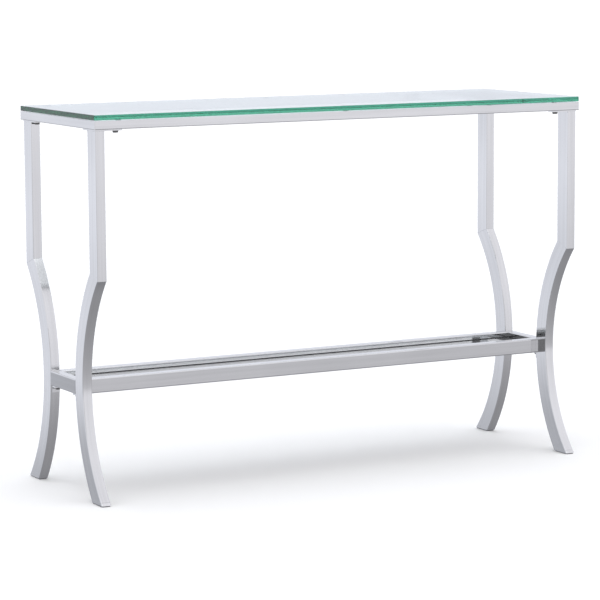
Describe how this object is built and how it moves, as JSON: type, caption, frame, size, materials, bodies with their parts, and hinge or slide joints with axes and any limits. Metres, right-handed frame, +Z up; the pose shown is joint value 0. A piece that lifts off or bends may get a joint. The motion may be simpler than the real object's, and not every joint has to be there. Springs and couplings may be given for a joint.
{
  "type": "console table",
  "caption": "Narrow console table: clear glass top on a polished tube frame, legs that bow in to a waist, and a mirrored shelf between the waists.",
  "frame": {"origin": "on the floor, under the middle of the top", "axes": "+Z up, X along the table's length, front faces -Y"},
  "size_m": [1.11, 0.37, 0.762],
  "materials": {
    "clear_glass": "polished, green edge",
    "polished_tube": "polished",
    "mirror_glass": "silvered",
    "backing_board": "dark hardboard",
    "clear_bumper": "clear, soft",
    "foot_plastic": "moulded",
    "bolt_steel": "zinc plated"
  },
  "bodies": {
    "root": {"foot_cap_back_left": "polished_tube", "foot_cap_back_right": "polished_tube", "foot_cap_front_left": "polished_tube", "foot_cap_front_right": "polished_tube", "foot_glide_back_left": "foot_plastic", "foot_glide_back_right": "foot_plastic", "foot_glide_front_left": "foot_plastic", "foot_glide_front_right": "foot_plastic", "glass_bumpers": "clear_bumper", "glass_top": "clear_glass", "leg_bow_back_left": "polished_tube", "leg_bow_back_right": "polished_tube", "leg_bow_front_left": "polished_tube", "leg_bow_front_right": "polished_tube", "leg_plate_back_left": "polished_tube", "leg_plate_back_right": "polished_tube", "leg_plate_bolts": "bolt_steel", "leg_plate_front_left": "polished_tube", "leg_plate_front_right": "polished_tube", "leg_plate_inserts": "bolt_steel", "leg_plate_washers": "bolt_steel", "leg_upright_back_left": "polished_tube", "leg_upright_back_right": "polished_tube", "leg_upright_front_left": "polished_tube", "leg_upright_front_right": "polished_tube", "mirror_pads": "clear_bumper", "shelf_backing_board": "backing_board", "shelf_bracket_back_left": "polished_tube", "shelf_bracket_back_right": "polished_tube", "shelf_bracket_bolts": "bolt_steel", "shelf_bracket_front_left": "polished_tube", "shelf_bracket_front_right": "polished_tube", "shelf_bracket_inserts": "bolt_steel", "shelf_bracket_washers": "bolt_steel", "shelf_ledge_back": "polished_tube", "shelf_ledge_front": "polished_tube", "shelf_ledge_left": "polished_tube", "shelf_ledge_right": "polished_tube", "shelf_mirror": "mirror_glass", "shelf_rail_back": "polished_tube", "shelf_rail_front": "polished_tube", "shelf_rail_left": "polished_tube", "shelf_rail_right": "polished_tube", "top_rail_back": "polished_tube", "top_rail_front": "polished_tube", "top_rail_left": "polished_tube", "top_rail_right": "polished_tube"}
  },
  "joints": []
}
